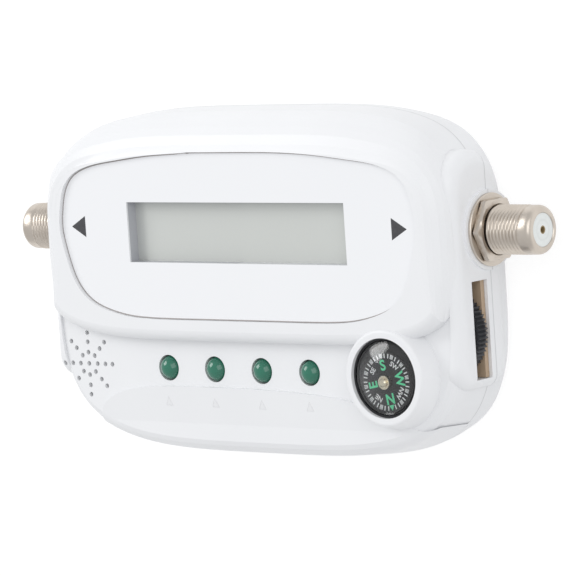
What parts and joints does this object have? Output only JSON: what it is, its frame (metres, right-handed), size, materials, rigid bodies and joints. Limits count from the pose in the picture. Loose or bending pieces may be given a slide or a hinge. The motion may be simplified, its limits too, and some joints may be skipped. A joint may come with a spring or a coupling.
{
  "type": "satellite signal meter",
  "caption": "Hand-held meter for aiming a dish: rounded case, window, lamps, compass, side thumbwheel and a threaded socket at each side.",
  "frame": {"origin": "centre of the back face's plane, under the middle of the bounding box, with the meter lying on its back", "axes": "+X to the right across the face, along the sockets; +Y up the face; +Z out of the face"},
  "size_m": [0.1298, 0.069, 0.0264],
  "materials": {
    "white_shell": "moulded, softly glossy",
    "white_panel": "printed, glossy",
    "display_glass": "clear with a grey green tint",
    "display_film": "satin",
    "white_frame": "moulded",
    "contact_rubber": "striped rubber",
    "board": "lacquered laminate",
    "chip": "moulded, satin",
    "steel": "plated",
    "gold_pins": "gold plated",
    "green_lens": "diffused green resin",
    "tinned_leads": "tinned",
    "brass": "polished",
    "compass_black": "moulded",
    "clear_dome": "clear, polished",
    "copper_wire": "enamelled",
    "tin_plate": "tin plate",
    "track_brown": "phenolic",
    "nickel": "nickel plated",
    "white_insulator": "moulded",
    "wheel_plastic": "moulded, dark grey",
    "spring_brass": "bright",
    "compass_card": "printed, matt",
    "magnet": "ground"
  },
  "bodies": {
    "case": {"front_cover": "white_shell", "rear_cover": "white_shell", "face_panel": "white_panel", "display_glass": "display_glass", "display_reflector": "display_film", "display_backlight": "display_film", "display_frame": "white_frame", "contact_strips": "contact_rubber", "display_board": "board", "display_chip": "chip", "display_screws": "steel", "link_pins": "gold_pins", "lamp_1": "green_lens", "lamp_2": "green_lens", "lamp_3": "green_lens", "lamp_4": "green_lens", "lamp_leads": "tinned_leads", "buzzer_case": "chip", "buzzer_diaphragm": "brass", "buzzer_base": "chip", "buzzer_pins": "tinned_leads", "compass_cup": "compass_black", "compass_dome": "clear_dome", "compass_pivot": "steel", "main_board": "board", "controller_chip": "chip", "amplifier_chip": "chip", "chip_legs": "tinned_leads", "crystal": "steel", "capacitors": "chip", "voltage_regulator": "chip", "choke_coil": "copper_wire", "rf_shield": "tin_plate", "shield_lid": "tin_plate", "track_base": "track_brown", "track_terminals": "tinned_leads", "case_screws": "steel", "right_socket": "nickel", "right_washer": "nickel", "right_nut": "nickel", "right_insulator": "white_insulator", "right_contact": "gold_pins", "left_socket": "nickel", "left_washer": "nickel", "left_nut": "nickel", "left_insulator": "white_insulator", "left_contact": "gold_pins"},
    "thumbwheel": {"thumbwheel": "wheel_plastic", "wheel_shaft": "wheel_plastic", "wheel_wiper": "spring_brass"},
    "compass_card": {"compass_card": "compass_card", "compass_magnet": "magnet", "compass_cap": "brass"}
  },
  "joints": [
    {"name": "thumbwheel_turn", "type": "hinge", "parent": "case", "child": "thumbwheel", "pos_m": [0.04425, -0.00915, 0.01505], "axis": [0, 0, 1], "range_deg": [-135, 135]},
    {"name": "compass_turn", "type": "hinge", "parent": "case", "child": "compass_card", "pos_m": [0.03545, -0.0176, 0.0236], "axis": [0, 0, 1], "continuous": true}
  ]
}
